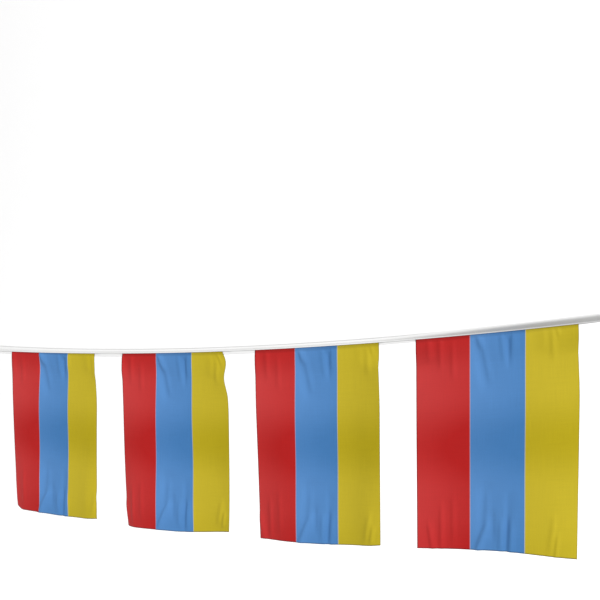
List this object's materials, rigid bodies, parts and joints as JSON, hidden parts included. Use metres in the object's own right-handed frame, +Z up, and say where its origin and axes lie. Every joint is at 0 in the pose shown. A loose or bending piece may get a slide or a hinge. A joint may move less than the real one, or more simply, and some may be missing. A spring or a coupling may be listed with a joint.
{
  "type": "flag bunting",
  "caption": "String of cloth flags in three upright stripes, sewn into a folded white header tape and hung between two ends.",
  "frame": {"origin": "the tape's top edge, halfway along the string", "axes": "+X along the string, from the left end to the right end as seen from the front; +Y from the printed front to the back; +Z up"},
  "size_m": [1.06, 0.0328, 0.326],
  "materials": {
    "tape_cloth": "white woven polyester tape, folded lengthwise and sewn through",
    "printed_cloth": "thin woven polyester, printed in three equal upright stripes: red, blue and ochre yellow"
  },
  "bodies": {
    "root": {"tape": "tape_cloth", "flag_1": "printed_cloth", "flag_2": "printed_cloth", "flag_3": "printed_cloth", "flag_4": "printed_cloth"}
  },
  "joints": []
}
